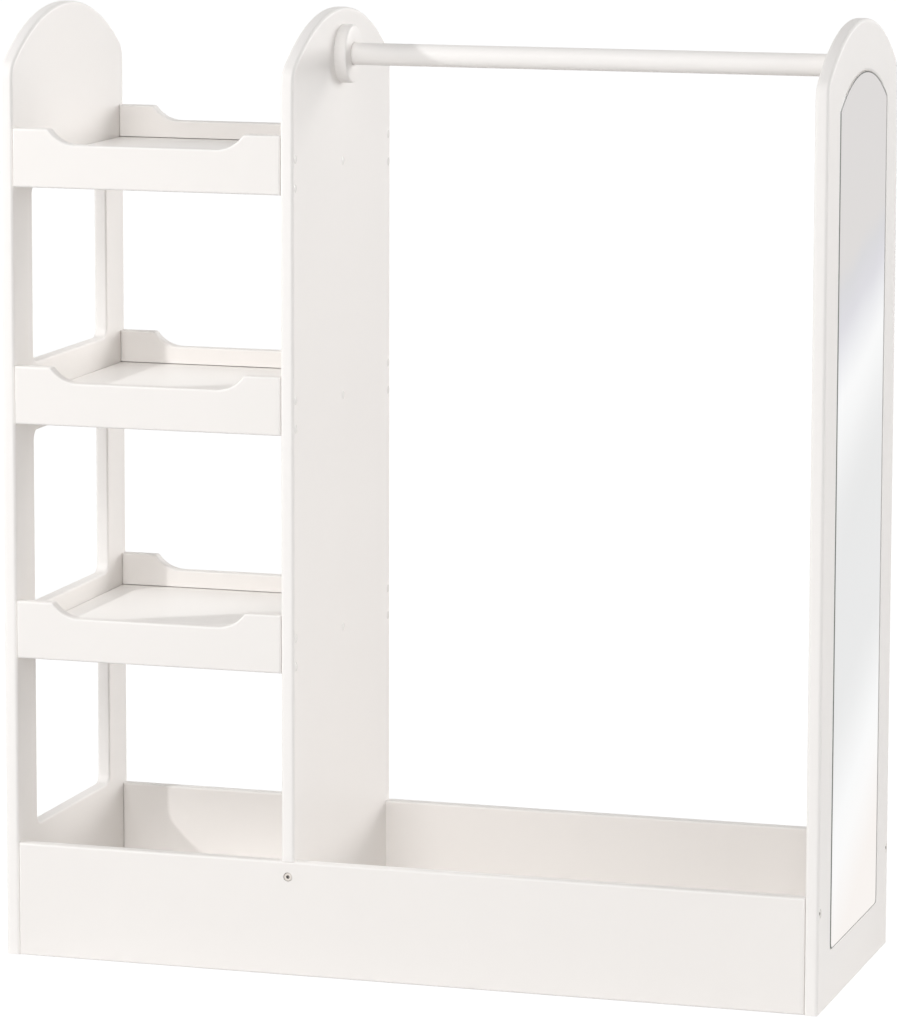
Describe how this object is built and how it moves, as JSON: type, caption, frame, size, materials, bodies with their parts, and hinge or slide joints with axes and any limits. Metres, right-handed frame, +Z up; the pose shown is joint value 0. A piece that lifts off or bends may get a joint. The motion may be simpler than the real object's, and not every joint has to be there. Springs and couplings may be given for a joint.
{
  "type": "dress up storage unit with mirror",
  "caption": "White painted child's wardrobe stand: arched panels carry scalloped trays, a hanging rod and a long toy box, with a tall mirror set in the outer face.",
  "frame": {"origin": "on the floor, under the middle of the unit's bounding box", "axes": "+X along the width, from the trays towards the hanging bay and the mirror; +Y from the front to the back; +Z up"},
  "size_m": [0.98, 0.368, 1.1139],
  "materials": {
    "painted_board": "satin off-white lacquer over smooth board",
    "painted_rod": "gloss white lacquer over turned wood",
    "mirror_glass": "silvered, polished, with a narrow ground bevel",
    "foam_tape": "matt foam mounting tape",
    "zinc_screws": "zinc plated",
    "nickel_screws": "nickel plated",
    "bare_wood": "bare fluted hardwood",
    "cap_plastic": "glossy, coloured to match the boards"
  },
  "bodies": {
    "unit": {"left_panel": "painted_board", "middle_panel": "painted_board", "right_panel": "painted_board", "mirror": "mirror_glass", "mirror_tape": "foam_tape", "box_front": "painted_board", "box_back": "painted_board", "left_box_floor": "painted_board", "right_box_floor": "painted_board", "upper_tray_front": "painted_board", "upper_tray_back": "painted_board", "upper_tray_floor": "painted_board", "middle_tray_front": "painted_board", "middle_tray_back": "painted_board", "middle_tray_floor": "painted_board", "lower_tray_front": "painted_board", "lower_tray_back": "painted_board", "lower_tray_floor": "painted_board", "left_rod_flange": "painted_rod", "right_rod_flange": "painted_rod", "flange_screws": "zinc_screws", "connector_screws": "nickel_screws", "base_dowels": "bare_wood", "tray_screws": "zinc_screws", "screw_caps": "cap_plastic"},
    "rod": {"hanging_rod": "painted_rod"}
  },
  "joints": [
    {"name": "rod_turn", "type": "hinge", "parent": "unit", "child": "rod", "pos_m": [0.171, 0, 1.06], "axis": [1, 0, 0], "continuous": true}
  ]
}
